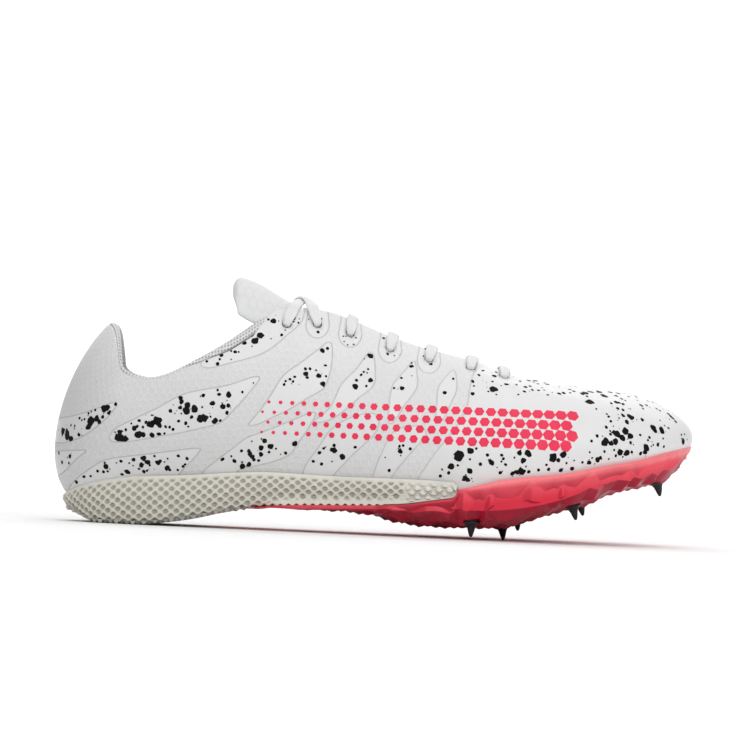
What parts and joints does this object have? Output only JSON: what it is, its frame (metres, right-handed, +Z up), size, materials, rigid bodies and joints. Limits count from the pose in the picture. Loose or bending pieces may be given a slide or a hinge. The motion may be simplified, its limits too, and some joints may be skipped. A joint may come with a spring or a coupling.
{
  "type": "track spike shoe",
  "caption": "Low-cut track spike shoe for the right foot: hollow laced upper over a tongue, a textured heel unit and a nylon forefoot plate with screw-in pins.",
  "frame": {"origin": "on the floor, at the flat spot under the heel, on the shoe's middle line", "axes": "+X towards the toe, +Z up, the shoe's outer side at -Y"},
  "size_m": [0.2865, 0.0936, 0.1124],
  "materials": {
    "upper": "white coated mesh with a black spatter print and a coral dotted band",
    "tongue": "white mesh, matt",
    "lining": "white knit over foam",
    "lace": "white flat woven lace",
    "heel_foam": "warm beige-grey moulded foam with a fine pitted side",
    "plate": "coral red nylon, faceted, slightly translucent at its rim",
    "pin": "black coated steel"
  },
  "bodies": {
    "root": {"upper": "upper", "tongue": "tongue", "insole": "lining", "heel_unit": "heel_foam", "spike_plate": "plate", "lace_cross": "lace", "lace_bar_3": "lace", "lace_bar_4": "lace", "lace_bar_5": "lace", "lace_bar_6": "lace", "lace_bar_7": "lace", "pin_ball_outer": "pin", "pin_ball_middle": "pin", "pin_ball_inner": "pin", "pin_fore_outer": "pin", "pin_fore_inner": "pin", "pin_toe_outer": "pin", "pin_toe_inner": "pin"}
  },
  "joints": []
}
